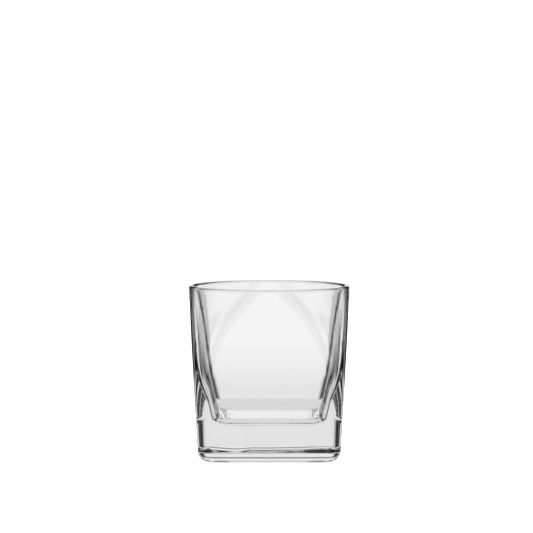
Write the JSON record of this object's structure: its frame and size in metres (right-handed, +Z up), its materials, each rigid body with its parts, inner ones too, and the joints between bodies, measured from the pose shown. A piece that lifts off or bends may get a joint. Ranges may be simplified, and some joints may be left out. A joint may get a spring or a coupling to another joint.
{
  "type": "whiskey tumbler",
  "caption": "Clear pressed-glass whiskey tumbler with a thick square base, rounded corners and a wall that opens to a round rim.",
  "frame": {"origin": "middle of the base, on the plane that the tumbler stands on", "axes": "+Z up through the mouth; +X and +Y square to two of the four flat faces"},
  "size_m": [0.084, 0.084, 0.09],
  "materials": {
    "clear_glass": "polished clear soda-lime glass"
  },
  "bodies": {
    "root": {"tumbler": "clear_glass"}
  },
  "joints": []
}
